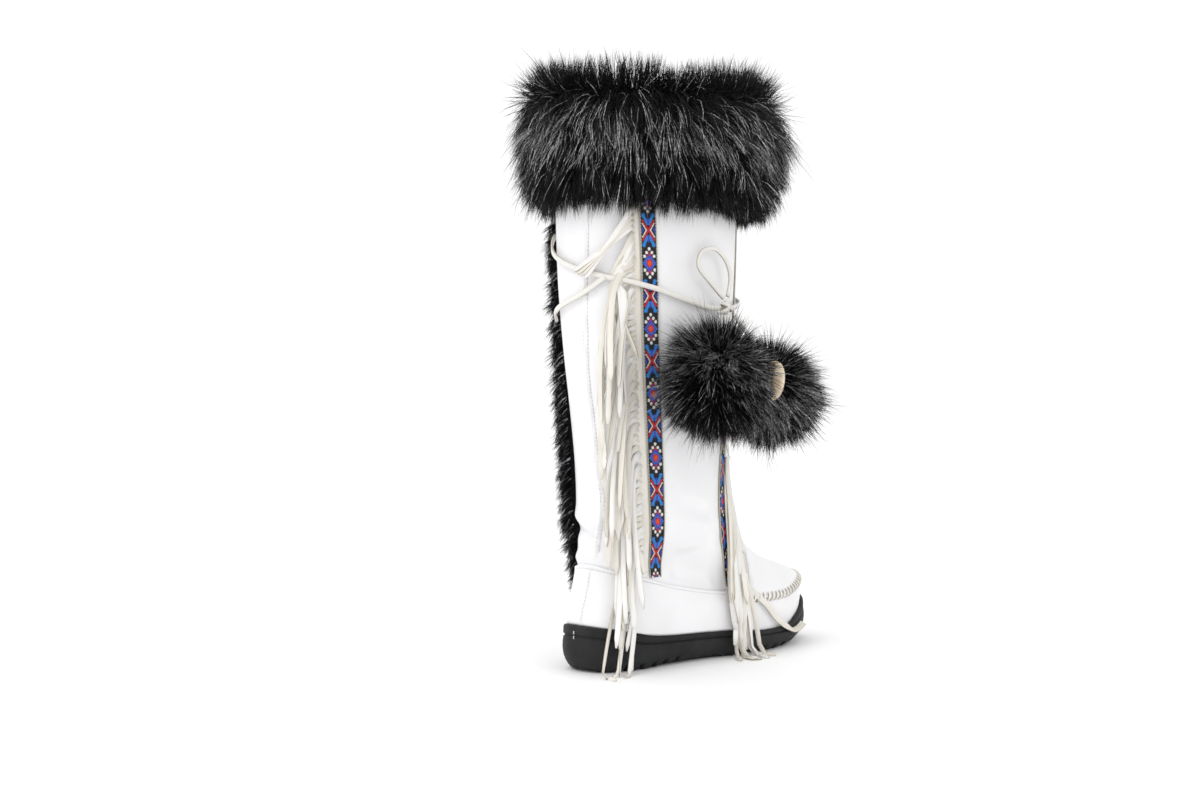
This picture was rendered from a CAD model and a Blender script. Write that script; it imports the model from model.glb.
import math

import bpy
import numpy as np
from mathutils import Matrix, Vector


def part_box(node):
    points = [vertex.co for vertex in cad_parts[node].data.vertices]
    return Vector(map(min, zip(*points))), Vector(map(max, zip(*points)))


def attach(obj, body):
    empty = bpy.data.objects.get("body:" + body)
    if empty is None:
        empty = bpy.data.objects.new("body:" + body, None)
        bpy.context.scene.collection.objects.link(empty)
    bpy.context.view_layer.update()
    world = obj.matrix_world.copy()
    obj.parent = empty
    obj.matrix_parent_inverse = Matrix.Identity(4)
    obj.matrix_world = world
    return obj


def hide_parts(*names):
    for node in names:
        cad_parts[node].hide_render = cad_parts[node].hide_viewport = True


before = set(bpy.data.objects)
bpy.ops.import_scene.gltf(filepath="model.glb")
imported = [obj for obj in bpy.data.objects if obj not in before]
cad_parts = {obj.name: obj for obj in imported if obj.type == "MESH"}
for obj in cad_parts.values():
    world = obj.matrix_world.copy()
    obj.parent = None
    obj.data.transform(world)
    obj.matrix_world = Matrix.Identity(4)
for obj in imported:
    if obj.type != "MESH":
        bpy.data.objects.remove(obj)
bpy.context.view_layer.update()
MM = 0.001
# Quick tries have fewer hairs.
HAIR_SHARE = 1.0

# Main sizes
SOLE_LENGTH = 265
BALL_WIDTH = 96
SHAFT_HEIGHT = 430
SHAFT_WIDTH = 118
WALL = 2
CLEARANCE = 0.3
HEEL_SHARE = 0.137
RIM_LIFT = 30

# Outline of the sole from the toe tip round the lateral side.
# side is a share of BALL_WIDTH, along of SOLE_LENGTH from the heel.
OUTLINE = np.array([
    (-0.06, 1.0), (0.17, 0.978), (0.35, 0.908), (0.47, 0.8), (0.515, 0.68), (0.48, 0.55),
    (0.415, 0.42), (0.375, 0.28), (0.36, 0.16), (0.265, 0.052), (0.1, 0.004), (-0.1, 0.004),
    (-0.265, 0.052), (-0.355, 0.16), (-0.345, 0.28), (-0.335, 0.42), (-0.395, 0.55),
    (-0.465, 0.67), (-0.485, 0.77), (-0.435, 0.88), (-0.28, 0.968),
])

# along, rim, bottom. Heights are shares of RIM_LIFT.
SOLE_PROFILE = np.array([
    (0, 1.2, 0.08), (0.05, 1.13, 0), (0.18, 0.89, 0), (0.3, 0.785, 0.05), (0.42, 0.74, 0.06),
    (0.54, 0.69, 0), (0.66, 0.6, 0), (0.76, 0.6, 0.01), (0.86, 0.82, 0.09), (0.95, 1.12, 0.28),
    (1, 1.22, 0.46),
])

# Sections of the boot's outer surface: back and front are shares of SOLE_LENGTH,
# back_up and front_up of SHAFT_HEIGHT, foot blends from the shaft's oval to the sole's
# outline, whose width is scaled by fit, follow is how far a row dips with the sole's rim,
# wide is a share of SHAFT_WIDTH, widest at middle.
SECTION_COLUMNS = ("back", "front", "back_up", "front_up", "foot", "fit", "follow", "wide", "middle")
SECTIONS = np.array([
    (0.024, 0.976, 0.06, 0.065, 1, 0.9, 1, 0.7, 0.5),
    (0.023, 0.982, 0.08, 0.085, 1, 0.93, 0.86, 0.7, 0.5),
    (0.029, 0.982, 0.103, 0.103, 1, 0.95, 0.68, 0.7, 0.5),
    (0.04, 0.97, 0.128, 0.12, 1, 0.94, 0.54, 0.71, 0.48),
    (0.049, 0.937, 0.152, 0.133, 0.96, 0.89, 0.5, 0.72, 0.45),
    (0.056, 0.885, 0.176, 0.144, 0.83, 0.84, 0.43, 0.735, 0.41),
    (0.06, 0.818, 0.2, 0.157, 0.61, 0.81, 0.31, 0.755, 0.38),
    (0.062, 0.748, 0.224, 0.175, 0.37, 0.8, 0.19, 0.775, 0.36),
    (0.063, 0.684, 0.25, 0.204, 0.18, 0.8, 0.09, 0.79, 0.345),
    (0.065, 0.628, 0.282, 0.247, 0.06, 0.8, 0.03, 0.8, 0.34),
    (0.067, 0.594, 0.322, 0.307, 0.01, 0.8, 0, 0.81, 0.332),
    (0.065, 0.582, 0.382, 0.38, 0, 0.8, 0, 0.845, 0.326),
    (0.054, 0.582, 0.465, 0.465, 0, 0.8, 0, 0.905, 0.32),
    (0.035, 0.59, 0.565, 0.565, 0, 0.8, 0, 0.97, 0.314),
    (0.018, 0.599, 0.68, 0.68, 0, 0.8, 0, 1.025, 0.311),
    (0.01, 0.606, 0.79, 0.79, 0, 0.8, 0, 1.045, 0.309),
    (0.008, 0.61, 0.895, 0.895, 0, 0.8, 0, 1.05, 0.309),
    (0.007, 0.612, 1, 1, 0, 0.8, 0, 1.05, 0.309),
    (0.007, 0.612, 1.12, 1.12, 0, 0.8, 0, 1.05, 0.309),
])
COLLAR_ROW = 17
TURN_STEP = 1 / 240
ROW_STEP = 1 / 12


def spline(a, b, c, d, t):
    m = (c - a) / 2
    n = (d - b) / 2
    t2 = t * t
    t3 = t2 * t
    return (2 * t3 - 3 * t2 + 1) * b + (t3 - 2 * t2 + t) * m + (3 * t2 - 2 * t3) * c + (t3 - t2) * n


def row_value(key, at):
    column = SECTIONS[:, SECTION_COLUMNS.index(key)]
    last = len(column) - 1
    t = np.clip(at, 0, last)
    i = np.minimum(t.astype(int), last - 1)
    near = [column[np.clip(i + k, 0, last)] for k in (-1, 0, 1, 2)]
    return spline(*near, t - i)


def table_at(table, column, value):
    """Value of a column of a table ordered by its first column, curved between rows."""
    keys, values = table[:, 0], table[:, column]
    slopes = np.diff(values) / np.diff(keys)
    before, after = slopes[:-1], slopes[1:]
    same = before * after > 0
    middle = np.where(same, 2 * before * after / np.where(same, before + after, 1), 0)
    tangents = np.concatenate([slopes[:1], middle, slopes[-1:]])
    i = np.clip(np.searchsorted(keys, value) - 1, 0, len(keys) - 2)
    span = keys[i + 1] - keys[i]
    t = np.clip((value - keys[i]) / span, 0, 1)
    curve = (tangents[i] - slopes[i]) * (1 - t) - (tangents[i + 1] - slopes[i]) * t
    return values[i] + (slopes[i] * t + curve * t * (1 - t)) * span


def outline_at(turn):
    n = len(OUTLINE)
    t = np.mod(turn, 1) * n
    i = t.astype(int)
    near = [OUTLINE[np.mod(i + k, n)] for k in (-1, 0, 1, 2)]
    both = spline(*near, (t - i)[..., None])
    return both[..., 0], both[..., 1]


def y_of(share):
    return (share - HEEL_SHARE) * SOLE_LENGTH


def share_of(y):
    return y / SOLE_LENGTH + HEEL_SHARE


def rim_at(share):
    return table_at(SOLE_PROFILE, 1, share) * RIM_LIFT


def bottom_at(share):
    return table_at(SOLE_PROFILE, 2, share) * RIM_LIFT


def surface(turn, row):
    """Point of the boot's outer surface at turn 0..1 from the toe and a fractional row."""
    turn, row = np.broadcast_arrays(np.asarray(turn, float), np.asarray(row, float))
    v = {key: row_value(key, row) for key in SECTION_COLUMNS}
    foot = np.clip(v["foot"], 0, 1)
    side, sole_along = outline_at(turn)
    angle = turn * 2 * np.pi
    ahead = np.cos(angle)
    half = np.where(ahead >= 0, v["front"] - v["middle"], v["middle"] - v["back"])
    span = v["front"] - v["back"]
    oval_along = (v["middle"] + half * ahead - v["back"]) / span
    along = np.clip(oval_along * (1 - foot) + sole_along * foot, 0, 1)
    oval_side = np.sin(angle) * v["wide"] * SHAFT_WIDTH * 0.5
    x = oval_side * (1 - foot) + side * BALL_WIDTH * v["fit"] * foot
    y = y_of(v["back"] + span * along)
    back_up = v["back_up"] * SHAFT_HEIGHT
    front_up = v["front_up"] * SHAFT_HEIGHT
    level = rim_at(0.0) + (rim_at(1.0) - rim_at(0.0)) * along
    z = back_up + (front_up - back_up) * along + (rim_at(along) - level) * v["follow"]
    return np.stack([x, y, z], -1)


def unit(v):
    return v / np.maximum(np.linalg.norm(v, axis=-1, keepdims=True), 1e-9)


def wrapped(turn):
    """A difference of turns, brought between -0.5 and 0.5."""
    return np.mod(turn + 0.5, 1) - 0.5


def reach_along(points):
    """Length along a line up to each of its points."""
    return np.concatenate([[0], np.cumsum(np.linalg.norm(np.diff(points, axis=0), axis=1))])


def normal(turn, row):
    du = surface(turn + TURN_STEP, row) - surface(turn - TURN_STEP, row)
    dv = surface(turn, row + ROW_STEP) - surface(turn, row - ROW_STEP)
    return unit(np.cross(dv, du))


def offset(turn, row, distance):
    return surface(turn, row) + normal(turn, row) * np.asarray(distance, float)[..., None]


# Rows and depths of the surface on a grid of heights and turns, to look them up quickly.
GRID_TURNS = np.linspace(0, 1, 361)
GRID_STEP = 2.0
GRID_HEIGHTS = np.arange(24, 482, GRID_STEP)
GRID_FINE = 500
HALVINGS = 20


def grid_rows():
    fine = np.linspace(0, len(SECTIONS) - 1, GRID_FINE)
    heights = surface(GRID_TURNS[None, :], fine[:, None])[..., 2]
    return np.stack([np.interp(GRID_HEIGHTS, heights[:, k], fine) for k in range(len(GRID_TURNS))], 1)


ROW_GRID = grid_rows()
DEPTH_GRID = surface(GRID_TURNS[None, :], ROW_GRID)[..., 1]


def look_up(grid, turn, height):
    i = np.clip((height - GRID_HEIGHTS[0]) / GRID_STEP, 0, len(GRID_HEIGHTS) - 1.001)
    j = np.clip(np.mod(turn, 1) * (len(GRID_TURNS) - 1), 0, len(GRID_TURNS) - 1.001)
    a, b = i.astype(int), j.astype(int)
    s, t = i - a, j - b
    low = grid[a, b] * (1 - t) + grid[a, b + 1] * t
    high = grid[a + 1, b] * (1 - t) + grid[a + 1, b + 1] * t
    return low * (1 - s) + high * s


def row_at_height(turn, height):
    """Row of the surface at a turn and a height, with one step of correction."""
    turn, height = np.broadcast_arrays(np.asarray(turn, float), np.asarray(height, float))
    row = look_up(ROW_GRID, turn, height)
    here = surface(turn, row)[..., 2]
    rate = (surface(turn, row + ROW_STEP)[..., 2] - here) / ROW_STEP
    return np.clip(row + np.clip((height - here) / np.maximum(rate, 1), -0.2, 0.2), 0, len(SECTIONS) - 1)


def turn_at(height, y, medial):
    """Turn on one side of the boot at a height and a depth y, by halving."""
    height, y = np.broadcast_arrays(np.asarray(height, float), np.asarray(y, float))
    rear = np.full(y.shape, 0.5)
    toe = np.full(y.shape, 0.9999 if medial else 0.0)
    for _ in range(HALVINGS):
        mid = (rear + toe) / 2
        behind = look_up(DEPTH_GRID, mid, height) < y
        rear = np.where(behind, mid, rear)
        toe = np.where(behind, toe, mid)
    return (rear + toe) / 2


def skin(turn, height, distance):
    return offset(turn, row_at_height(turn, height), distance)


def bump_curve(value, centre, width):
    return np.exp(-(((value - centre) / width) ** 2))


def ease(value, low, high):
    t = np.clip((value - low) / (high - low), 0, 1)
    return t * t * (3 - 2 * t)


# Materials
NOISE = "ShaderNodeTexNoise"
CELLS = "ShaderNodeTexVoronoi"
SPECULAR = "Specular IOR Level"


def shader_of(material):
    return material.node_tree.nodes["Principled BSDF"]


def new_look(name, colour, roughness, socket=None, value=0.0):
    """A material of one colour and roughness, and at most one more socket's value."""
    material = bpy.data.materials.new(name)
    material.use_nodes = True
    shader = shader_of(material)
    shader.inputs["Base Color"].default_value = (*colour, 1)
    shader.inputs["Roughness"].default_value = roughness
    if socket:
        shader.inputs[socket].default_value = value
    return material


def shape_noise(material, kind, scale, detail=2.0):
    """A noise in the object's own coordinates, scale in features per metre."""
    place = material.node_tree.nodes.new("ShaderNodeTexCoord")
    texture = material.node_tree.nodes.new(kind)
    texture.inputs["Scale"].default_value = scale
    if "Detail" in texture.inputs:
        texture.inputs["Detail"].default_value = detail
    material.node_tree.links.new(place.outputs["Object"], texture.inputs["Vector"])
    return texture


def tint(material, texture, low, high, spread=(0.35, 0.65)):
    """Base colour that runs between two colours along a texture."""
    ramp = material.node_tree.nodes.new("ShaderNodeValToRGB")
    ramp.color_ramp.elements[0].position = spread[0]
    ramp.color_ramp.elements[1].position = spread[1]
    ramp.color_ramp.elements[0].color = (*low, 1)
    ramp.color_ramp.elements[1].color = (*high, 1)
    links = material.node_tree.links
    links.new(texture.outputs[0], ramp.inputs["Fac"])
    links.new(ramp.outputs["Color"], shader_of(material).inputs["Base Color"])


def mottle(material, scale, detail, low, high):
    tint(material, shape_noise(material, NOISE, scale, detail), low, high)


def relief(material, layers):
    """Bump from (texture, height in metres, strength) layers, one on the other."""
    links = material.node_tree.links
    below = None
    for texture, distance, strength in layers:
        bump = material.node_tree.nodes.new("ShaderNodeBump")
        bump.inputs["Distance"].default_value = distance
        bump.inputs["Strength"].default_value = strength
        links.new(texture.outputs[0], bump.inputs["Height"])
        if below:
            links.new(below.outputs["Normal"], bump.inputs["Normal"])
        below = bump
    links.new(below.outputs["Normal"], shader_of(material).inputs["Normal"])


def leather_look(name, low, high, roughness, grain=1500):
    material = new_look(name, high, roughness)
    mottle(material, 14, 3.0, low, high)
    relief(material, [
        (shape_noise(material, NOISE, 60, 4.0), 0.0006, 0.5),
        (shape_noise(material, CELLS, grain), 0.00012, 0.6),
    ])
    return material


LEATHER = leather_look("white_leather", (0.835, 0.832, 0.846), (0.89, 0.886, 0.9), 0.42)
PANEL = leather_look("white_panel_leather", (0.84, 0.837, 0.85), (0.895, 0.89, 0.904), 0.4)
SUEDE = leather_look("cream_split_leather", (0.7, 0.66, 0.585), (0.84, 0.81, 0.745), 0.8, 2600)
SMOOTH = leather_look("strand_grain_side", (0.8, 0.785, 0.76), (0.87, 0.86, 0.84), 0.5, 2200)
SUEDE_EDGE = leather_look("cream_cut_edge", (0.38, 0.33, 0.25), (0.56, 0.5, 0.41), 0.9, 2600)
THONG = leather_look("off_white_thong", (0.74, 0.72, 0.67), (0.87, 0.855, 0.82), 0.6, 2200)
THONG_EDGE = leather_look("thong_cut_edge", (0.45, 0.4, 0.32), (0.68, 0.63, 0.54), 0.85, 2600)
THONG_LOOKS = [THONG, THONG_EDGE]

RUBBER = new_look("charcoal_rubber", (0.03, 0.033, 0.037), 0.62, SPECULAR, 0.25)
mottle(RUBBER, 45, 3.0, (0.009, 0.0093, 0.0098), (0.019, 0.0194, 0.0205))
relief(RUBBER, [
    (shape_noise(RUBBER, NOISE, 900, 3.0), 0.0005, 0.7),
    (shape_noise(RUBBER, CELLS, 1400), 0.0002, 0.5),
])

FLEECE = new_look("fleece_lining", (0.8, 0.77, 0.7), 0.95)
mottle(FLEECE, 220, 3.0, (0.6, 0.56, 0.48), (0.84, 0.81, 0.75))
relief(FLEECE, [(shape_noise(FLEECE, CELLS, 420), 0.0015, 0.9)])

THREAD = new_look("grey_thread", (0.55, 0.54, 0.53), 0.8)
mottle(THREAD, 1500, 2.0, (0.5, 0.49, 0.48), (0.7, 0.69, 0.67))


def yarn_look(name, colour):
    material = new_look(name, colour, 0.75)
    dark = tuple(c * 0.6 for c in colour)
    tint(material, shape_noise(material, NOISE, 1800, 2.0), dark, colour, (0.3, 0.6))
    relief(material, [(shape_noise(material, CELLS, 2500), 0.00025, 0.8)])
    return material


YARN_COLOURS = {
    "black": (0.008, 0.009, 0.014),
    "red": (0.62, 0.015, 0.03),
    "azure": (0.03, 0.24, 0.72),
    "royal": (0.045, 0.075, 0.52),
    "white": (0.86, 0.85, 0.8),
    "orange": (0.8, 0.09, 0.015),
    "beige": (0.6, 0.55, 0.45),
}
YARNS = [yarn_look(f"yarn_{name}", colour) for name, colour in YARN_COLOURS.items()]
YARN_NUMBER = {name: k for k, name in enumerate(YARN_COLOURS)}

UNDERFUR = new_look("black_underfur", (0.004, 0.004, 0.005), 0.9, SPECULAR, 0.05)
mottle(UNDERFUR, 400, 3.0, (0.002, 0.002, 0.003), (0.012, 0.012, 0.014))
relief(UNDERFUR, [(shape_noise(UNDERFUR, NOISE, 500, 4.0), 0.003, 1.0)])

HAIR = new_look("black_guard_hair", (0.011, 0.011, 0.012), 0.42, SPECULAR, 0.16)
mottle(HAIR, 500, 2.0, (0.002, 0.002, 0.0022), (0.011, 0.011, 0.012))
HAIR_SILVER = new_look("silver_guard_hair", (0.62, 0.62, 0.63), 0.4)
mottle(HAIR_SILVER, 500, 2.0, (0.06, 0.06, 0.062), (0.62, 0.62, 0.63))
FUR_LOOKS = [UNDERFUR, HAIR, HAIR_SILVER]

SHELL = new_look("ivory_shell", (0.8, 0.7, 0.55), 0.25, "Coat Weight", 0.5)
mottle(SHELL, 70, 2.0, (0.55, 0.4, 0.24), (0.82, 0.74, 0.6))
SHELL_SLOT = new_look("shell_slot", (0.06, 0.035, 0.02), 0.6)
mottle(SHELL_SLOT, 300, 2.0, (0.03, 0.02, 0.012), (0.12, 0.07, 0.04))


# Meshes
def add_piece(name, points, faces, looks, nodes=(), face_look=None):
    """A mesh piece from points in millimetres and blocks of faces with equal corners."""
    blocks = faces if isinstance(faces, list) else [faces]
    points = np.asarray(points, float).reshape(-1, 3) * MM
    corners = np.concatenate([block.ravel() for block in blocks]).astype(np.int32)
    sizes = np.concatenate([np.full(len(block), block.shape[1]) for block in blocks])
    starts = np.concatenate([[0], np.cumsum(sizes)[:-1]]).astype(np.int32)
    name = f"{name}_detail" if nodes else name
    mesh = bpy.data.meshes.new(name)
    mesh.vertices.add(len(points))
    mesh.vertices.foreach_set("co", points.ravel())
    mesh.loops.add(len(corners))
    mesh.loops.foreach_set("vertex_index", corners)
    mesh.polygons.add(len(sizes))
    mesh.polygons.foreach_set("loop_start", starts)
    for look in looks:
        mesh.materials.append(look)
    if face_look is not None:
        mesh.polygons.foreach_set("material_index", np.asarray(face_look, np.int32))
    mesh.polygons.foreach_set("use_smooth", np.full(len(sizes), True))
    mesh.update(calc_edges=True)
    piece = bpy.data.objects.new(name, mesh)
    bpy.context.scene.collection.objects.link(piece)
    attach(piece, "root")
    if nodes:
        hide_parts(*nodes)
    return piece


def grid_faces(rows, cols, wrap=False, start=0, flip=False):
    r, c = np.meshgrid(np.arange(rows - 1), np.arange(cols if wrap else cols - 1), indexing="ij")
    a = r * cols + c
    b = r * cols + (c + 1) % cols
    quads = np.stack([a, a + cols, b + cols, b], -1).reshape(-1, 4) + start
    return quads[:, ::-1] if flip else quads


def slab(outer, inner, wrap=False):
    """Closed sheet between two grids of points of the same shape (rows, columns, 3)."""
    rows, cols = outer.shape[:2]
    count = rows * cols
    faces = [grid_faces(rows, cols, wrap), grid_faces(rows, cols, wrap, count, True)]
    c = np.arange(cols if wrap else cols - 1)
    d = (c + 1) % cols
    faces.append(np.stack([c, d, d + count, c + count], -1))
    top = (rows - 1) * cols
    faces.append(np.stack([top + d, top + c, top + c + count, top + d + count], -1))
    if not wrap:
        r = np.arange(rows - 1) * cols
        faces.append(np.stack([r, r + count, r + cols + count, r + cols], -1))
        right = r + cols - 1
        faces.append(np.stack([right, right + cols, right + cols + count, right + count], -1))
    return np.concatenate([outer.reshape(-1, 3), inner.reshape(-1, 3)]), np.concatenate(faces)


class Pile:
    """Gathers parts of one piece before it is made."""

    def __init__(self):
        self.points = []
        self.faces = {}
        self.looks = {}
        self.count = 0

    def add(self, points, *blocks):
        """Points and blocks of faces, each with its look. Faces count from these points."""
        points = np.asarray(points, float).reshape(-1, 3)
        for faces, look in blocks:
            size = faces.shape[1]
            self.faces.setdefault(size, []).append(faces + self.count)
            self.looks.setdefault(size, []).append(np.broadcast_to(look, len(faces)))
        self.points.append(points)
        self.count += len(points)

    def make(self, name, looks, nodes=()):
        sizes = sorted(self.faces)
        faces = [np.concatenate(self.faces[size]) for size in sizes]
        look = np.concatenate([np.concatenate(self.looks[size]) for size in sizes])
        return add_piece(name, np.concatenate(self.points), faces, looks, nodes, look)


CURVE_STEPS = 24


def resample(points, count):
    """A smooth line of evenly spaced points through the given ones."""
    points = np.asarray(points, float)
    last = len(points) - 1
    t = np.linspace(0, last, last * CURVE_STEPS + 1)
    i = np.minimum(t.astype(int), last - 1)
    near = [points[np.clip(i + k, 0, last)] for k in (-1, 0, 1, 2)]
    fine = spline(*near, (t - i)[:, None])
    reach = reach_along(fine)
    even = np.linspace(0, reach[-1], count)
    return np.stack([np.interp(even, reach, fine[:, k]) for k in range(points.shape[1])], -1)


# Half section of a flat thong: across and up as shares of half its width and thickness.
THONG_SECTION = np.array([
    (-1, -0.75), (-1, 0.55), (-0.86, 1), (0, 1.08), (0.86, 1), (1, 0.55), (1, -0.75), (0, -1),
])
THONG_FACE_LOOK = np.array([1, 0, 0, 0, 0, 1, 0, 0])
ABOVE_FLOOR = 0.1


def thong(pile, path, ups, width, thickness, taper=None, grain=0):
    """A flat thong along a path. ups are the directions that its face looks to.

    taper gives shares of the width along it, and grain the look of its faces."""
    path = np.asarray(path, float)
    ahead = unit(np.gradient(path, axis=0))
    across = unit(np.cross(ups, ahead))
    up = np.cross(ahead, across)
    widths = np.full(len(path), width) if taper is None else width * taper
    n = len(THONG_SECTION)
    side = THONG_SECTION[None, :, :1] * widths[:, None, None] / 2
    lift = THONG_SECTION[None, :, 1:] * thickness / 2
    rings = path[:, None, :] + across[:, None, :] * side + up[:, None, :] * lift
    rings[..., 2] = np.maximum(rings[..., 2], ABOVE_FLOOR)
    faces = grid_faces(len(path), n, wrap=True)
    look = np.where(THONG_FACE_LOOK == 0, grain, THONG_FACE_LOOK)
    caps = np.stack([np.arange(n), (len(path) - 1) * n + np.arange(n)[::-1]])
    pile.add(rings, (faces, np.tile(look, len(path) - 1)), (caps, 1))


# Camera, as in the photograph: from behind the lateral side, a little below the collar.
AIM = np.array([0, 50, 316])
CAMERA_TURN = math.radians(41.29)
CAMERA_DISTANCE = 1800
FOCAL_SHARE = 2303.8 / 1200
CENTRE_SHIFT = (50.3 / 2303.8, 143.2 / 2303.8)
SENSOR = 36

camera_data = bpy.data.cameras.new("camera")
camera_data.sensor_width = SENSOR
camera_data.lens = SENSOR * FOCAL_SHARE
camera_data.clip_end = 50
camera = bpy.data.objects.new("camera", camera_data)
bpy.context.scene.collection.objects.link(camera)
back = np.array([math.sin(CAMERA_TURN), -math.cos(CAMERA_TURN), 0])
camera.location = Vector((AIM + back * CAMERA_DISTANCE) * MM)
to_left = np.array([-math.cos(CAMERA_TURN), -math.sin(CAMERA_TURN), 0])
look_to = -back + to_left * CENTRE_SHIFT[0] - np.array([0, 0, 1]) * CENTRE_SHIFT[1]
camera.rotation_euler = Vector(look_to).to_track_quat("-Z", "Y").to_euler()
bpy.context.scene.camera = camera

# Free thongs. Their routes are the part's own.
CORD_WIDTH = 3.2
CORD_THICKNESS = 1.8
KNOT = np.array([68, 59, 277])
LOOP_POINTS = [
    (69, 56, 284.5), (68, 41, 297), (67, 29, 309), (67, 33, 320),
    (68, 47, 322), (68, 60, 313), (67.5, 66, 300), (69, 61, 285.5),
]
TAIL_POINTS = [(66, 61, 269.5), (64.5, 66, 250), (63.5, 68, 216), (62.5, 69, 186), (61, 70, 162)]
POMPOM_REAR = np.array([95, 22, 221])
POMPOM_FRONT = np.array([74, 116, 214])
POMPOM_CORE = 24


def free_thong(name, points, count, face, twist=0.0):
    path = resample(points, count)
    swing = np.linspace(0, twist, count)[:, None]
    ups = unit(np.asarray(face, float) * np.cos(swing) + np.array([0, 0, 1.0]) * np.sin(swing))
    pile = Pile()
    thong(pile, path, ups, CORD_WIDTH, CORD_THICKNESS)
    piece = pile.make(name, THONG_LOOKS, (name,))
    return piece


free_thong("tie_loop", LOOP_POINTS, 40, (1, -0.15, 0.1))
free_thong("tie_tail", TAIL_POINTS, 30, (1, -0.3, 0), 0.3)


def pompom_thong(name, centre, start):
    first = KNOT + np.array(start)
    last = centre + (KNOT - centre) * (POMPOM_CORE + 1) / np.linalg.norm(KNOT - centre)
    middle = (first + last) / 2 + np.array([3, 0, 0])
    return free_thong(name, [first, middle, last], 24, (1, -0.4, 0.2))


pompom_thong("pompom_thong_rear", POMPOM_REAR, (5, -6, -6))
pompom_thong("pompom_thong_front", POMPOM_FRONT, (4, 7, -6))


# Knot: turns of thong wrapped over each other. lean in radians, size, shift in millimetres.
KNOT_TURNS = ((0.5, 1.0, -1.6), (-0.55, 0.92, 1.8), (1.45, 0.8, 0.2))
KNOT_DEEP = 3.6
KNOT_WIDE = 5.6


def knot_piece():
    pile = Pile()
    turns = np.linspace(0, 2 * np.pi, 26)
    for lean, size, shift in KNOT_TURNS:
        ring = np.stack([
            np.cos(turns) * KNOT_DEEP * size,
            shift + np.sin(turns) * KNOT_WIDE * size * math.cos(lean),
            np.sin(turns) * KNOT_WIDE * size * math.sin(lean) + shift * 0.5,
        ], -1)
        out = unit(ring - ring.mean(0))
        thong(pile, KNOT + ring, out, CORD_WIDTH * 0.9, CORD_THICKNESS)
    return pile.make("tie_knot", THONG_LOOKS, ("tie_knot",))


knot_piece()

# Upper
BAND_EDGE = np.array([
    (0, 0.197), (0.05, 0.192), (0.077, 0.184), (0.193, 0.162), (0.3, 0.144), (0.46, 0.1256), (0.515, 0.122),
])
BAND_FRONT = 0.515
BAND_THICKNESS = 1.6
# Back seam of the shaft and of the band: height in millimetres, turn.
BACK_SEAM = np.array([
    (85, 0.4752), (100, 0.4705), (118, 0.4638), (134, 0.4625), (155, 0.4765), (193, 0.4845),
    (224, 0.4905), (276, 0.4838), (344, 0.4745), (440, 0.468),
])
BAND_SEAM = np.array([(30, 0.4965), (82, 0.487)])
SEAM_ROW = 3.15
SEAM_REACH = 0.232
PUCKERS = 22
# Millimetres round the shaft, to turn a small share of a turn into a length.
ROUND_SHAFT = 330
FOLD_DEPTH = 2.1
UPPER_AROUND = 240
UPPER_STEPS = 168
LINING_STEP = 4
# Turn along which the rows of the upper are evenly spaced.
SPACING_TURN = 0.3

# Folds of the soft shaft: turn and up of the middle, half length in turns, half width in
# millimetres, depth in millimetres and tilt in millimetres over the half length.
FOLDS = np.array([
    (0.5, 0.235, 0.07, 5, 1.2, 6), (0.44, 0.262, 0.05, 6, 1.0, -7), (0.36, 0.222, 0.06, 5, 0.9, 8),
    (0.56, 0.25, 0.06, 6, 1.1, 5), (0.28, 0.2, 0.06, 5, 0.8, -6), (0.2, 0.225, 0.07, 6, 1.2, 7),
    (0.5, 0.31, 0.06, 8, 0.8, -8), (0.42, 0.35, 0.05, 8, 0.7, 9), (0.25, 0.28, 0.06, 7, 0.8, 8),
    (0.12, 0.27, 0.07, 7, 1.6, 4), (0.0, 0.25, 0.08, 6, 1.8, 0), (-0.11, 0.27, 0.07, 7, 1.5, 4),
    (0.0, 0.31, 0.07, 8, 1.3, 3), (0.62, 0.24, 0.06, 6, 1.0, -5), (0.24, 0.46, 0.05, 12, 0.7, 14),
    (0.46, 0.55, 0.03, 14, 0.6, 16), (0.2, 0.62, 0.04, 14, 0.6, -16), (0.3, 0.72, 0.04, 12, 0.5, 12),
    (0.08, 0.55, 0.05, 14, 0.8, 14), (0.92, 0.6, 0.05, 14, 0.7, -12), (0.97, 0.42, 0.05, 12, 0.9, 8),
])


def upper_shape(turn, row):
    """Height of creases, seam and puckers on the upper, in millimetres."""
    place = surface(turn, row)
    z = place[..., 2]
    total = np.zeros(z.shape)
    for at, up, reach, width, depth, tilt in FOLDS:
        along = wrapped(turn - at) / reach
        across = (z - up * SHAFT_HEIGHT - tilt * along) / width
        shade = np.exp(-along ** 2)
        total += shade * depth * FOLD_DEPTH * (0.55 * np.exp(-(across - 1.3) ** 2) - np.exp(-across ** 2))
    # The back seam: a ridge of lapped leather beside its groove.
    gap = wrapped(turn - table_at(BACK_SEAM, 1, z)) * ROUND_SHAFT
    total += ease(z, 84, 92) * (1.1 * bump_curve(gap, 1.6, 2.0) - 1.3 * bump_curve(gap, -0.6, 0.55))
    # The shaft swells over the band's top edge.
    share = share_of(place[..., 1])
    lip = z - table_at(BAND_EDGE, 1, share) * SHAFT_HEIGHT
    total = total * np.where(share < BAND_FRONT, ease(lip, 0, 6), 1)
    total += ease(BAND_FRONT - share, -0.01, 0.02) * 2.2 * bump_curve(lip, 7.5, 4.5)
    # Puckers below the seam of the toe.
    wave = np.cos(turn / SEAM_REACH * np.pi * PUCKERS)
    within = ease(SEAM_REACH + 0.02 - np.abs(wrapped(turn)), 0, 0.03) * (row < SEAM_ROW + 0.3)
    return total + within * 0.55 * (wave - 0.3) * bump_curve(row, 3.0, 0.55)


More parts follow.
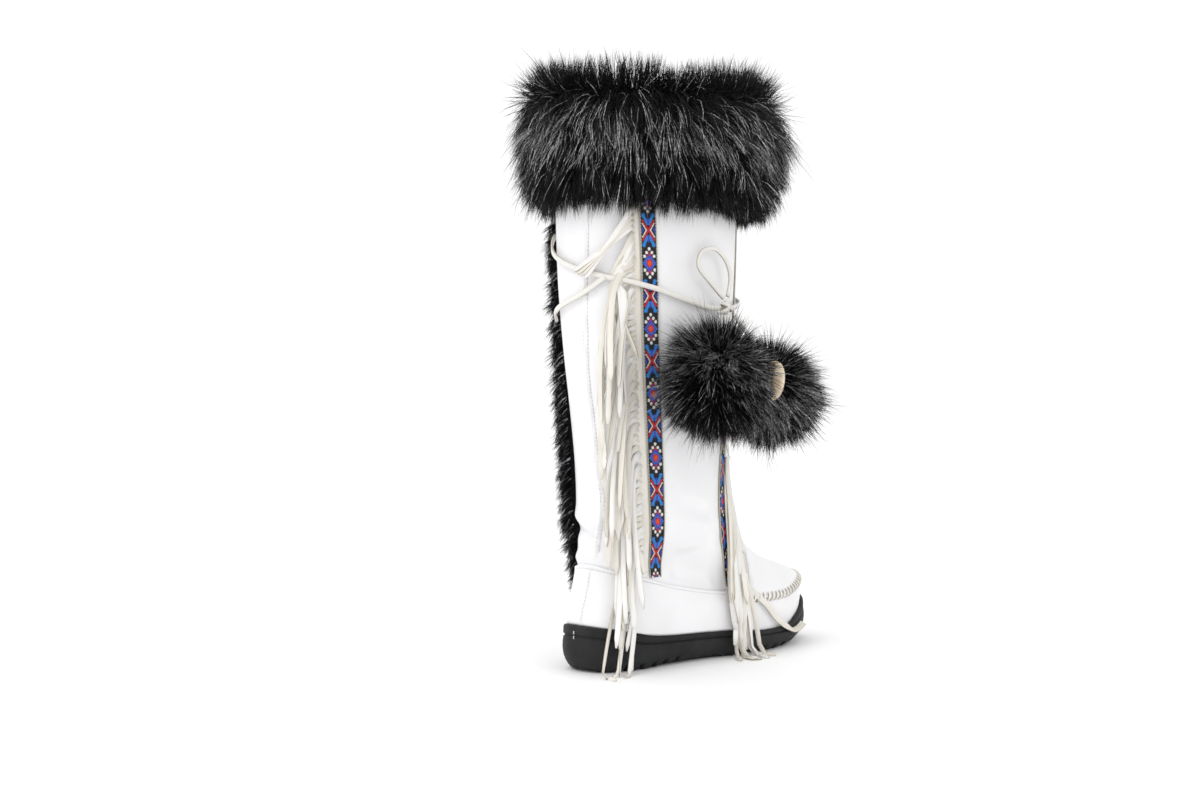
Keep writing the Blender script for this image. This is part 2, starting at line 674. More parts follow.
def near_trim(turn, row):
    """1 where a ribbon, fringe root or apron lies on the upper."""
    place = surface(turn, row)
    share = share_of(place[..., 1])
    up = place[..., 2] / SHAFT_HEIGHT
    lateral = place[..., 0] > 0
    cover = np.zeros(up.shape)
    for path in (REAR_PATH, FRONT_PATH):
        gap = np.abs(share - table_at(path, 1, up)) * SOLE_LENGTH
        cover = np.maximum(cover, (1 - ease(gap, 16, 22)) * lateral)
    apron = (row > SEAM_ROW - 0.1) * (share > 0.57) * ease(0.255 - up, 0, 0.03)
    return np.maximum(cover, apron)


# Middle lines of the ribbons: share of SHAFT_HEIGHT, share of SOLE_LENGTH from the heel.
REAR_PATH = np.array([
    (0.155, 0.22), (0.235, 0.196), (0.36, 0.177), (0.47, 0.157), (0.615, 0.131), (0.75, 0.117),
    (0.825, 0.111),
])
FRONT_PATH = np.array([
    (0.13, 0.52), (0.184, 0.49), (0.24, 0.471), (0.3, 0.466), (0.39, 0.472), (0.5, 0.505), (0.78, 0.557),
])


def upper_piece():
    fine = np.linspace(0, COLLAR_ROW, 600)
    reach = reach_along(surface(np.full(len(fine), SPACING_TURN), fine))
    rows = np.interp(np.linspace(0, reach[-1], UPPER_STEPS), reach, fine)
    turn, row = np.meshgrid(np.arange(UPPER_AROUND) / UPPER_AROUND, rows)
    shape = upper_shape(turn, row)
    cover = near_trim(turn, row)
    shape = shape * (1 - cover) + np.minimum(shape, 0) * cover * 0.2
    outer = offset(turn, row, shape)
    hidden = slice(None, None, LINING_STEP)
    inner = offset(turn[hidden], row[hidden], -WALL + np.minimum(shape[hidden], 0))
    rings = np.concatenate([outer, inner[::-1]])
    faces = grid_faces(len(rings), UPPER_AROUND, wrap=True)
    last = (len(rings) - 1) * UPPER_AROUND
    c = np.arange(UPPER_AROUND)
    d = (c + 1) % UPPER_AROUND
    faces = np.concatenate([faces, np.stack([last + c, c, d, last + d], -1)])
    look = np.zeros(len(faces), int)
    look[(UPPER_STEPS - 1) * UPPER_AROUND:] = 1
    return add_piece("upper", rings, faces, [LEATHER, FLEECE], ("upper",), look)


upper_piece()


# Outsole
TREAD_PITCH = 13
TREAD_GAP = 3.4
TREAD_DEPTH = 3.6
TREAD_SOFT = 0.5
SOLE_AROUND = 480
SOLE_ACROSS = 30
# up is a share from the bottom to the rim, inset is in millimetres from the outline.
SOLE_STEPS = np.array([
    (0, 8.5), (0.03, 6.4), (0.1, 4.4), (0.2, 2.5), (0.3, 1.2), (0.4, 0.5), (0.5, 0.2),
    (0.62, 0.35), (0.725, 0.8), (0.74, 1.2), (0.755, 2.0), (0.775, 2.0), (0.79, 1.2), (0.805, 0.8),
    (0.9, 0.8), (0.96, 1.0), (0.985, 1.5), (1.0, 2.4),
])


def tread(x, y):
    """Share of the tread's depth at a place under the sole."""
    share = share_of(y)
    phase = np.mod(y, TREAD_PITCH) - TREAD_PITCH / 2
    groove = 1 - ease(np.abs(phase), TREAD_GAP / 2 - TREAD_SOFT, TREAD_GAP / 2 + TREAD_SOFT)
    waist = ease(share, 0.3, 0.33) * (1 - ease(share, 0.5, 0.53))
    ends = ease(share, 0.06, 0.09) * (1 - ease(share, 0.86, 0.9))
    half = BALL_WIDTH * np.where(share < 0.4, 0.37, 0.47)
    aside = np.abs(x) / half
    side = ease(aside, 0.28, 0.36)
    bars = bump_curve(np.mod(y + TREAD_PITCH / 2, TREAD_PITCH * 2), TREAD_PITCH, 2.2)
    centre = bars * (1 - ease(aside, 0.2, 0.26))
    return np.maximum(groove * side, centre) * ends * (1 - waist * 0.9)


def outsole_piece():
    turn = np.arange(SOLE_AROUND) / SOLE_AROUND
    side, along = outline_at(turn)
    base = np.stack([side * BALL_WIDTH, y_of(along)], -1)
    ahead = np.roll(base, -1, 0) - np.roll(base, 1, 0)
    out = unit(np.stack([-ahead[:, 1], ahead[:, 0]], -1))
    share = np.clip(along, 0, 1)
    low, rim = bottom_at(share), rim_at(share)
    rings = []
    for up, inset in SOLE_STEPS:
        flat = base - out * inset
        cut = tread(flat[:, 0], flat[:, 1])
        height = low + (rim - low) * up
        fade = 1 - ease(height - low, TREAD_DEPTH * 0.8, TREAD_DEPTH * 1.4)
        flat = flat - out * (cut * fade * 2.2)[:, None]
        height = height + cut * TREAD_DEPTH * fade * 0.9
        rings.append(np.column_stack([flat, height]))
    cup_rows = row_at_height(turn, rim - 0.8)
    lip = offset(turn, cup_rows, 0.5)
    lip[:, 2] = rim - 0.4
    rings.append(lip)
    for sink in (0.35, 1.0):
        ring = offset(turn, cup_rows * (1 - sink), CLEARANCE)
        ring[:, 2] -= 0.6 * sink
        rings.append(ring)
    rings = np.array(rings)
    pile = Pile()
    pile.add(rings, (grid_faces(len(rings), SOLE_AROUND, wrap=True), 0))
    half = SOLE_AROUND // 2
    for ring, top in ((rings[0], False), (rings[-1], True)):
        right = ring[1:half]
        left = ring[:half:-1]
        t = np.linspace(0, 1, SOLE_ACROSS)[None, :, None]
        sheet = right[:, None, :] * (1 - t) + left[:, None, :] * t
        if not top:
            inside = np.minimum(ease(t[..., 0], 0, 0.04), ease(1 - t[..., 0], 0, 0.04))
            sheet[..., 2] += tread(sheet[..., 0], sheet[..., 1]) * TREAD_DEPTH * inside
        pile.add(sheet, (grid_faces(len(right), SOLE_ACROSS, flip=not top), 0))
        for end, row in ((ring[0], sheet[0]), (ring[half], sheet[-1])):
            k = np.arange(1, SOLE_ACROSS)
            pile.add(np.concatenate([[end], row]), (np.stack([k * 0, k, k + 1], -1), 0))
    return pile.make("outsole", [RUBBER], ("outsole",))


outsole_piece()


INSOLE_AROUND = 144
# Rings of the insole: inset and lift in millimetres.
INSOLE_RINGS = ((2.6, 0.2), (2.6, 3.0), (3.2, 4.0), (12, 4.2))


def insole_piece():
    turn = np.arange(INSOLE_AROUND) / INSOLE_AROUND
    rings = []
    for inset, lift in INSOLE_RINGS:
        ring = offset(turn, 0.05, -inset)
        ring[:, 2] += lift
        rings.append(ring)
    points = np.concatenate([np.concatenate(rings), [rings[0].mean(0), rings[-1].mean(0)]])
    k = np.arange(INSOLE_AROUND)
    m = (k + 1) % INSOLE_AROUND
    middle = len(rings) * INSOLE_AROUND
    top = middle - INSOLE_AROUND
    low = np.stack([k * 0 + middle, k, m], -1)
    high = np.stack([k * 0 + middle + 1, top + m, top + k], -1)
    faces = [grid_faces(len(rings), INSOLE_AROUND, wrap=True), np.concatenate([low, high])]
    return add_piece("insole", points, faces, [FLEECE], ("insole",))


insole_piece()


# Quarter band round the heel, with its stitches
BAND_LEVEL = 50.0
BAND_COLS = 220
# v from the band's foot to its top edge, and the share of its thickness there.
BAND_FOOT = np.array([(0, 0.25), (0.006, 0.8), (0.02, 1.0), (0.05, 1.0)])
BAND_MIDDLE = np.column_stack([np.linspace(0.1, 0.92, 18), np.ones(18)])
BAND_LIP = np.array([(0.955, 1.15), (0.98, 1.25), (0.995, 0.9), (1, 0.2)])
BAND_SHAPE = np.concatenate([BAND_FOOT, BAND_MIDDLE, BAND_LIP])


def band_heights(turn, v):
    """Height on the band at a turn, v from its foot (0) to its top edge (1)."""
    height = np.full(np.broadcast(turn, v).shape, BAND_LEVEL)
    for _ in range(5):
        share = share_of(surface(turn, row_at_height(turn, height))[..., 1])
        foot = rim_at(share) + CLEARANCE * 3
        height = foot + (table_at(BAND_EDGE, 1, share) * SHAFT_HEIGHT - foot) * v
    return height


def band_ends():
    return [turn_at(BAND_LEVEL, y_of(BAND_FRONT), medial) for medial in (False, True)]


def band_piece():
    v, edge = BAND_SHAPE.T
    start, end = band_ends()
    s = np.linspace(0, 1, BAND_COLS)
    turn, v = np.meshgrid(start + (end - start) * s, v)
    front = np.minimum(ease(s, 0, 0.006), ease(1 - s, 0, 0.006)) * 0.75 + 0.25
    height = band_heights(turn, v)
    wander = 0.25 * np.sin(turn * 61) * np.sin(height / 9) + 0.2 * np.sin(turn * 23 + 1)
    lift = CLEARANCE + BAND_THICKNESS * edge[:, None] * front[None, :] + wander * (edge[:, None] >= 1)
    seam = (turn - table_at(BAND_SEAM, 1, height)) * ROUND_SHAFT
    lift = lift - 0.7 * bump_curve(seam, 0, 0.7) * (edge[:, None] >= 1)
    rows_at = row_at_height(turn, height)
    outer = offset(turn, rows_at, lift)
    inner = offset(turn, rows_at, CLEARANCE)
    points, faces = slab(outer, inner)
    return add_piece("quarter_band", points, faces, [PANEL], ("quarter_band",))


band_piece()


# A stitch: share of its length, height in millimetres, share of its width.
STITCH_SHAPE = np.array([(0, -0.25, 0.5), (0.2, 0.1, 1), (0.5, 0.2, 1), (0.8, 0.1, 1), (1.0, -0.25, 0.5)])
ROW_BELOW_EDGE = 3.2
ROW_FROM_END = 0.008
# Upright rows of the band: turn from the lateral end, from the toe, from the medial end.
UPRIGHT_END = 0.006
UPRIGHT_REAR = 0.4935
UPRIGHT_LEAN = 0.009
BACK_ROWS = (0.007, -0.003)
BACK_ROW_SPAN = (88, 350)
# Two staples in the sole's lip behind the heel.
STAPLE = np.array([(0, 0.3, -1.1), (0, -0.2, -0.5), (0, -0.2, 0.5), (0, 0.3, 1.1)])
STAPLE_TURN = 0.503
STAPLE_HEIGHTS = (27.2, 30.8)
STAPLE_INSET = 0.6


def stitches(pile, turn, rows, lift, length, gap, width):
    """Short raised threads along a line on the surface."""
    path, ups = offset(turn, rows, lift), normal(turn, rows)
    reach = reach_along(path)
    share, rise, taper = STITCH_SHAPE.T
    for start in np.arange(gap, reach[-1] - length, length + gap):
        marks = start + share * length
        line = np.stack([np.interp(marks, reach, path[:, i]) for i in range(3)], -1)
        up = unit(np.stack([np.interp(marks, reach, ups[:, i]) for i in range(3)], -1))
        thong(pile, line + up * rise[:, None], up, width, width * 0.8, taper)


def stitch_piece():
    pile = Pile()
    start, end = band_ends()
    on_band = CLEARANCE + BAND_THICKNESS + 0.1
    turn = np.linspace(start + ROW_FROM_END, end - ROW_FROM_END, 400)
    height = band_heights(turn, np.ones(len(turn))) - ROW_BELOW_EDGE
    stitches(pile, turn, row_at_height(turn, height), on_band, 1.9, 1.0, 0.55)
    uprights = ((start + UPRIGHT_END, 0), (UPRIGHT_REAR, UPRIGHT_LEAN), (end - UPRIGHT_END, 0))
    for at, lean in uprights:
        v = np.linspace(0.05, 0.9, 60)
        turn = at - (v - 0.5) * lean
        stitches(pile, turn, row_at_height(turn, band_heights(turn, v)), on_band, 1.6, 1.3, 0.4)
    height = np.linspace(*BACK_ROW_SPAN, 300)
    for shift in BACK_ROWS:
        turn = table_at(BACK_SEAM, 1, height) + shift
        stitches(pile, turn, row_at_height(turn, height), 0.25 + shift * 40, 1.9, 1.2, 0.45)
    side, along = outline_at(np.array([STAPLE_TURN]))
    for height in STAPLE_HEIGHTS:
        middle = np.array([side[0] * BALL_WIDTH, y_of(along[0]) + STAPLE_INSET, height])
        thong(pile, middle + STAPLE, np.tile([0, -1.0, 0], (len(STAPLE), 1)), 0.9, 0.6)
    return pile.make("band_stitches", [THREAD, THREAD])


stitch_piece()


# Apron and the puckered seam round it
APRON_THICKNESS = 1.2
APRON_EDGE = np.array([(50, 0.59), (80, 0.612), (129, 0.66)])


def apron_piece():
    rows_up = np.concatenate([np.linspace(3.24, 3.6, 8), np.linspace(3.7, 8.6, 46)])
    s = np.linspace(-1, 1, 150)
    reach = []
    for row in rows_up:
        trial = np.linspace(0, SEAM_REACH, 160)
        place = surface(trial, np.full(len(trial), row))
        inside = share_of(place[:, 1]) > table_at(APRON_EDGE, 1, place[:, 2])
        reach.append(trial[inside].max() if inside.any() else 0.002)
    reach = np.minimum.accumulate(np.array(reach))
    turn = reach[:, None] * s[None, :]
    row = np.broadcast_to(rows_up[:, None], turn.shape)
    v = np.linspace(0, 1, len(rows_up))[:, None]
    side = 1 - np.abs(s)[None, :]
    rim = np.minimum(ease(side, 0, 0.03), np.minimum(ease(v, 0, 0.03), ease(1 - v, 0, 0.03)))
    swell = 0.3 * (np.sin(turn * 40 + 1) * np.sin(row * 1.7) + 1) * ease(side, 0, 0.3)
    outer = offset(turn, row, CLEARANCE + 0.15 + APRON_THICKNESS * rim + swell)
    inner = offset(turn, row, np.full(turn.shape, CLEARANCE))
    points, faces = slab(outer, inner)
    return add_piece("apron", points, faces, [PANEL], ("apron",))


apron_piece()


# Half width and half height of the seam's ridge and of the loops of thong over it.
RIDGE_SIZE = (1.9, 1.7)
LOOP_SIZE = (3.4, 2.8)
LOOP_PITCH = 5.4
LOOP_LEAN = 1.9
LOOP_SUNK = 0.3
LOOP_WIDTH = 2.1
LOOP_THICKNESS = 0.9


def seam_piece():
    pile = Pile()
    count, corners = 500, 12
    turn = np.linspace(-SEAM_REACH, SEAM_REACH, count)
    rows = np.full(count, SEAM_ROW)
    centre = offset(turn, rows, 0.9)
    up = normal(turn, rows)
    swell = 0.78 + 0.22 * np.abs(np.cos(turn / SEAM_REACH * np.pi * PUCKERS / 2))
    angles = np.linspace(0, 2 * np.pi, corners + 1)[:-1]
    ahead = unit(np.gradient(centre, axis=0))
    across = unit(np.cross(up, ahead))
    section = np.stack([-np.cos(angles) * RIDGE_SIZE[0], np.sin(angles) * RIDGE_SIZE[1]], -1)
    ridge = across[:, None] * section[None, :, :1] + up[:, None] * section[None, :, 1:]
    rings = centre[:, None] + swell[:, None, None] * ridge
    pile.add(rings, (grid_faces(count, corners, wrap=True), 0))
    reach = reach_along(centre)
    arc = np.linspace(-0.25, np.pi + 0.1, 11)
    lean = LOOP_LEAN * np.linspace(-1, 1, 11)
    for at in np.arange(3.0, reach[-1] - 2, LOOP_PITCH):
        i = int(np.searchsorted(reach, at))
        round_ridge = across[i] * (-np.cos(arc) * LOOP_SIZE[0])[:, None]
        round_ridge = round_ridge + up[i] * (np.sin(arc) * LOOP_SIZE[1] - LOOP_SUNK)[:, None]
        loop = centre[i] + round_ridge + ahead[i] * lean[:, None]
        thong(pile, loop, unit(round_ridge), LOOP_WIDTH, LOOP_THICKNESS)
    return pile.make("apron_seam", THONG_LOOKS, ("apron_seam",))


seam_piece()


# Ribbons
RIBBON_WIDTH = 12.5
RIBBON_THICKNESS = 1.0
REPEAT = 49.1
CELL = 0.4
RIBBON_COLS = 31
TRIM_TOP = (0.8105, 0.7835)
TRIM_TUCK = 0.026
# Path, low and high end as shares of SHAFT_HEIGHT, and the share of the repeat at the low end.
RIBBONS = {
    "ribbon_rear": (REAR_PATH, 0.164, TRIM_TOP[0] + TRIM_TUCK, 0.595),
    "ribbon_front": (FRONT_PATH, 0.13, TRIM_TOP[1] + TRIM_TUCK, 0.1),
}
UNDER_COLS = 4


def beside(path, up, shift, lift):
    """Points and normals beside a path up the lateral side, moved round the shaft."""
    height = up * SHAFT_HEIGHT
    turn = turn_at(height, y_of(table_at(path, 1, up)), False)
    row = row_at_height(turn, height)
    step = surface(turn + TURN_STEP, row) - surface(turn - TURN_STEP, row)
    per_turn = np.linalg.norm(step, axis=-1) / (2 * TURN_STEP)
    moved = turn[:, None] + shift[None, :] / per_turn[:, None]
    rows = row_at_height(moved, height[:, None])
    return offset(moved, rows, np.broadcast_to(lift, moved.shape)), normal(moved, rows)


def trim_chart(u, v):
    """Yarn of the woven repeat: u -1..1 across the ground, v 0..1 along the repeat.

    The shapes are charted in units of an 80th of half the ground's width."""
    chart = np.full(u.shape, YARN_NUMBER["black"])

    def paint(where, yarn):
        chart[where] = YARN_NUMBER[yarn]

    x = np.abs(u) * 80
    cross = np.abs(wrapped(v)) * 700
    arm = cross / 1.72
    petal = (np.abs(x - (cross - 52) * 0.5) < 17) & (cross > 55) & (cross < 150)
    paint((np.hypot(x - 50, cross - 158) < 21) | petal, "azure")
    paint((x < 8 + (cross - 60) * 0.05) & (cross > 62) & (cross < 128), "royal")
    paint((x < 13) & (cross > 128), "black")
    paint((x > 48 + cross * 0.5) & (x < 72) & (cross < 40), "royal")
    paint((np.abs(x - arm - 22) < 6.5) & (cross < 76) & (x < 70), "white")
    paint((np.abs(x - arm) < 11) & (cross < 112) & (x < 74), "red")
    y = np.abs(v - 0.5) * 700
    paint((x / 62 + y / 122 < 1), "red")
    paint((x / 74 + y / 98 < 1), "royal")
    paint((np.abs(x / 70 + y / 94 - 0.93) < 0.06) & (y < 60), "azure")
    paint((np.abs(x / 60 + y / 84 - 0.62) < 0.07), "azure")
    paint((x / 30) ** 2 + (y / 42) ** 2 < 1, "red")
    paint((x / 19) ** 2 + (y / 29) ** 2 < 1, "orange")
    for bead_x, bead_y in ((0, 150), (28, 112), (52, 73)):
        paint(((x - bead_x) / 14) ** 2 + ((y - bead_y) / 19) ** 2 < 1, "white")
    return chart


def ribbon_piece(name, path, low, high, start):
    rows = int((high - low) * SHAFT_HEIGHT / CELL)
    up = np.linspace(low, high, rows + 1)
    shift = np.linspace(-0.5, 0.5, RIBBON_COLS + 1) * RIBBON_WIDTH
    scallop = 1 + 0.03 * np.where((np.arange(rows + 1) // 2) % 2, 1, -1)
    places, ups = beside(path, up, shift, CLEARANCE + RIBBON_THICKNESS * 0.85)
    middle = places[:, RIBBON_COLS // 2, None]
    edge = np.zeros(RIBBON_COLS + 1)
    edge[[0, -1]] = 1
    places = places + (places - middle) * (edge * (scallop[:, None] - 1))[..., None]
    along = (up - low) * SHAFT_HEIGHT
    v = np.mod((along[:-1] + along[1:]) / 2 / REPEAT + start, 1)
    column = np.arange(RIBBON_COLS)
    u = (column - (RIBBON_COLS - 1) / 2) / (RIBBON_COLS / 2 - 1.4)
    chart = trim_chart(*np.broadcast_arrays(u[None, :], v[:, None]))
    beige = YARN_NUMBER["beige"]
    chart[:, [0, -1]] = beige
    edge_rows = (np.arange(rows) // 2) % 3 > 0
    chart[edge_rows, 1] = beige
    chart[edge_rows, -2] = beige
    weave = ((np.arange(rows + 1)[:, None] + np.arange(RIBBON_COLS + 1)[None, :]) % 2) * 0.1
    raised = np.zeros((rows + 1, RIBBON_COLS + 1))
    lit = (chart != YARN_NUMBER["black"]).astype(float) * 0.22
    raised[:-1, :-1] += lit
    raised[1:, 1:] = np.maximum(raised[1:, 1:], lit)
    places = places + ups * (weave + raised - 0.05)[..., None]
    # The hidden underside has few columns.
    columns = np.round(np.linspace(0, RIBBON_COLS, UNDER_COLS)).astype(int)
    under, _ = beside(path, up, shift[::-1][columns], CLEARANCE)
    wide = RIBBON_COLS + 1
    first_under = (rows + 1) * wide
    left = np.arange(rows) * wide
    right = left + RIBBON_COLS
    low_left = first_under + np.arange(rows) * UNDER_COLS
    low_right = low_left + UNDER_COLS - 1
    faces = [
        grid_faces(rows + 1, wide),
        grid_faces(rows + 1, UNDER_COLS, start=first_under, flip=True),
        np.stack([left, low_left, low_left + UNDER_COLS, left + wide], -1),
        np.stack([right, right + wide, low_right + UNDER_COLS, low_right], -1),
    ]
    ends = []
    for row, step in ((0, 1), (rows, -1)):
        above = row * wide + np.arange(wide)
        below = first_under + row * UNDER_COLS + np.arange(UNDER_COLS)
        ends.append(np.concatenate([above, below[::-1]])[::step])
    look = np.full(sum(map(len, faces)) + len(ends), beige)
    look[:rows * RIBBON_COLS] = chart[:, ::-1].ravel()
    points = np.concatenate([places[:, ::-1].reshape(-1, 3), under.reshape(-1, 3)])
    blocks = [np.concatenate(faces), np.array(ends)]
    return add_piece(name, points, blocks, YARNS, (name,), look)


for ribbon, values in RIBBONS.items():
    ribbon_piece(ribbon, *values)


# Fringes
STRAND_WIDTH = 4.4
STRAND_THICKNESS = 1.1
STRAND_LENGTH = 104
ROOT_WIDTH = 8
ROOT_GAP = 1.6
FLOOR_GAP = 1.2
LIE_MOST = 16
GROUP_SIZE = 5
SMOOTH_SHARE = 0.45
DRAPE_LOW = 0.13
SOLE_BULGE = 5
STRAND_POINTS = 16
SIDEWAYS_MOST = 27
# A strand bends out of its root: share of its drop, way out and way aside in millimetres.
STRAND_SHAPE = np.array([
    (0, 1.0, 0), (0.012, 1.3, 5), (0.035, 2.0, 10), (0.09, 3.6, 16), (0.26, 7, 23), (0.6, 12, 28),
    (1, 18, 31),
])
# Above this share of SHAFT_HEIGHT the rear strands are gathered under the tie, and the first
# few of them lie over it.
GATHERED_FROM = 0.725
OVER_TIE = 4
# Below this share the rear strands fan out: factor and lean in millimetres.
FANNED_BELOW = 0.3
FANNED = (1.7, 6)


def clear_of_boot(points, distance):
    """Moves points outwards until they are a distance from the boot's lateral side."""
    height = np.maximum(points[:, 2], DRAPE_LOW * SHAFT_HEIGHT)
    turn = turn_at(height, points[:, 1], False)
    beside_sole = np.where(points[:, 2] < height, distance + SOLE_BULGE, distance)
    wall = offset(turn, row_at_height(turn, height), beside_sole)
    points[:, 0] = np.maximum(points[:, 0], wall[:, 0])
    return points


def over_skin(turn, up, lift):
    row = row_at_height(np.array([turn]), up * SHAFT_HEIGHT)
    return offset(np.array([turn]), row, lift)[0]


def strand_line(rng, root, face, side, length, spread, group, bulge, loose):
    """Hanging strand: bends out of its root, then falls, by chance nearer or farther out."""
    drop, out, away = STRAND_SHAPE.T
    out = out * rng.uniform(0.65, 1.2) * bulge + rng.normal(0, 1.0) * drop
    away = away * spread + (group + rng.normal(0, 4)) * loose * drop ** 1.3
    line = root + face * out[:, None] + side * np.minimum(away, SIDEWAYS_MOST * loose)[:, None]
    line[:, 2] -= drop * length
    line[1:] = clear_of_boot(line[1:], 1.2 + out[1:] * 0.6 + rng.uniform(0, 3.5))
    fine = resample(line, STRAND_POINTS)
    t = np.linspace(0, 1, STRAND_POINTS)
    wave = np.sin(t * rng.uniform(2, 6) + rng.uniform(0, 6)) * rng.normal(0, 1.3) * t
    return fine + side * wave[:, None]


def gathered_line(rng, root, face, k):
    """Strand from above the tie, drawn in under it and fanned out below."""
    if k < OVER_TIE:
        tip = over_skin(0.47 + 0.006 * k, 0.699 + 0.004 * k, 9 + k)
        middle = (root + tip) / 2 + face * 5
        return resample([root, root * 0.8 + middle * 0.2 + face * 2.5, middle, tip], STRAND_POINTS)
    knot = over_skin(0.421 + rng.uniform(-0.008, 0.008), 0.7, 2.2)
    low = over_skin(0.40 + rng.uniform(0, 0.035), 0.655, 7 + rng.uniform(0, 3))
    tip = over_skin(rng.uniform(0.385, 0.455), 0.52 + rng.uniform(-0.05, 0.05), 10 + rng.uniform(0, 5))
    return resample([root, root * 0.5 + knot * 0.5 + face * 4, knot, low, tip], STRAND_POINTS)


# The one strand that lies over the toe: turn, row, lift; then its free end in millimetres.
TOE_STRAND = np.array([
    (0.23, 4.3, 1.8), (0.217, 3.6, 2.4), (0.206, 2.8, 3.0), (0.196, 2.2, 3.2), (0.185, 1.62, 3.4),
    (0.17, 1.1, 4.6),
])
TOE_STRAND_END = [(47.6, 166.5, 16.2), (45.2, 176.5, 12.6), (46.5, 181.5, 14.2), (47.5, 186, 17.8)]
TOE_STRAND_UPS = [(0.85, -0.1, 0.5), (0.6, -0.2, 0.75), (0.5, -0.45, 0.7), (0.5, -0.6, 0.5)]


def toe_strand(pile):
    turn, row, lift = TOE_STRAND.T
    places = np.concatenate([offset(turn, row, lift), TOE_STRAND_END])
    ups = np.concatenate([normal(turn, row), TOE_STRAND_UPS])
    line = resample(np.column_stack([places, ups]), 26)
    thong(pile, line[:, :3], unit(line[:, 3:]), STRAND_WIDTH * 1.2, STRAND_THICKNESS)


def fringe_piece(name, path, low, high, heading, pitch, spreads, bulge, turned, seed):
    """A root strip beside a ribbon and its strands.

    heading is 1 towards the heel and -1 towards the toe, bulge a share of the strands' way
    out, and turned the angle in radians by which their faces turn."""
    pile = Pile()
    rng = np.random.default_rng(seed)
    offset_mm = heading * (RIBBON_WIDTH / 2 + ROOT_GAP + ROOT_WIDTH / 2)
    up = np.linspace(low, high, 160)
    shift = offset_mm + np.linspace(-0.5, 0.5, 7) * (ROOT_WIDTH + 1.6)
    if heading > 0:
        shift = shift[::-1]
    rim = np.array([0.3, 1, 1, 1, 1, 1, 0.6])
    outer, _ = beside(path, up, shift, CLEARANCE + STRAND_THICKNESS * rim)
    inner, _ = beside(path, up, shift, CLEARANCE)
    points, faces = slab(outer, inner) if heading > 0 else slab(outer[:, ::-1], inner[:, ::-1])
    pile.add(points, (faces, 0))
    count = int((high - low) * SHAFT_HEIGHT / pitch)
    group = 0.0
    for k in range(count):
        if k % GROUP_SIZE == 0:
            group = rng.normal(0, 5)
        root_up = high - (k + 0.5) * pitch / SHAFT_HEIGHT
        root, face = beside(path, np.array([root_up]), np.array([offset_mm]), 0.0)
        root, face = root[0, 0], face[0, 0]
        side = unit(np.cross([0, 0, 1.0], face)) * -heading
        room = root[2] - FLOOR_GAP
        length = STRAND_LENGTH * rng.uniform(0.6, 1.08)
        lie = max(length - room, 0)
        if heading > 0 and root_up > GATHERED_FROM:
            fine = gathered_line(rng, root + face * 1.2, face, k)
            lie = 0
        else:
            fanned = heading > 0 and root_up < FANNED_BELOW
            loose, lean = (FANNED[0], group + FANNED[1]) if fanned else (1.0, group)
            spread = rng.uniform(*spreads)
            fine = strand_line(rng, root, face, side, min(length, room), spread, lean, bulge, loose)
        if lie > 2:
            on_floor = unit(side * rng.uniform(-0.4, 1.0) + face * rng.uniform(0.3, 1.0))
            run = np.linspace(0.3, 1, 4) * min(lie, LIE_MOST)
            fine = np.concatenate([fine[:-1], fine[-1] + on_floor * run[:, None]])
            fine[-len(run):, 2] = FLOOR_GAP
        t = np.linspace(0, 1, len(fine))
        twist = turned * t ** 0.5 + rng.normal(0, 0.8) * t ** 1.2
        ahead = unit(np.gradient(fine, axis=0))
        across = unit(np.cross(face, ahead))
        ups = face * np.cos(twist)[:, None] + across * np.sin(twist)[:, None]
        taper = np.ones(len(fine))
        taper[-1] = rng.uniform(0.15, 0.7)
        grain = 2 if rng.random() < SMOOTH_SHARE else 0
        thong(pile, fine, ups, STRAND_WIDTH * rng.uniform(0.74, 1.06), STRAND_THICKNESS, taper, grain)
    if heading < 0:
        toe_strand(pile)
    return pile.make(name, [SUEDE, SUEDE_EDGE, SMOOTH], (name,))


fringe_piece("fringe_rear", REAR_PATH, 0.175, TRIM_TOP[0] + 0.015, 1, 4.5, (0.3, 1.05), 1.0, 0.0, 5)
fringe_piece("fringe_front", FRONT_PATH, 0.15, 0.41, -1, 4.6, (-0.45, 0.2), 0.4, -1.1, 6)


# Tie round the shaft. The tables give turn and share of SHAFT_HEIGHT.
THONG_WIDTH = 4
THONG_THICKNESS = 2
TIE_REAR = np.array([
    (0.652, 0.772), (0.622, 0.758), (0.591, 0.744), (0.539, 0.727), (0.491, 0.714), (0.465, 0.708),
    (0.438, 0.701), (0.416, 0.697), (0.392, 0.692), (0.374, 0.687), (0.345, 0.678), (0.31, 0.664),
    (0.264, 0.649), (0.244, 0.645),
])
TIE_LOW = np.array([
    (0.632, 0.622), (0.6, 0.634), (0.565, 0.645), (0.504, 0.664), (0.468, 0.681), (0.438, 0.701),
])
TIE_FRONT = np.array([
    (0.2, 0.643), (0.17, 0.645), (0.12, 0.65), (0.06, 0.658), (0, 0.667), (-0.04, 0.674),
])
TIE_LIFT_REAR = 3.3
TIE_LIFT_FRONT = 4.6


def tie(pile, table, lift, count=60, end=None):
    """A stretch of the tie over the shaft, which may run on to a free end point."""
    line = resample(table, count)
    rows = row_at_height(line[:, 0], line[:, 1] * SHAFT_HEIGHT)
    places, ups = offset(line[:, 0], rows, lift), normal(line[:, 0], rows)
    if end is not None:
        rest = np.linspace(0.2, 1, 5)[:, None]
        places = np.concatenate([places, places[-1] * (1 - rest) + end * rest])
        ups = np.concatenate([ups, np.repeat(ups[-1:], 5, 0)])
    thong(pile, places, ups, THONG_WIDTH, THONG_THICKNESS)


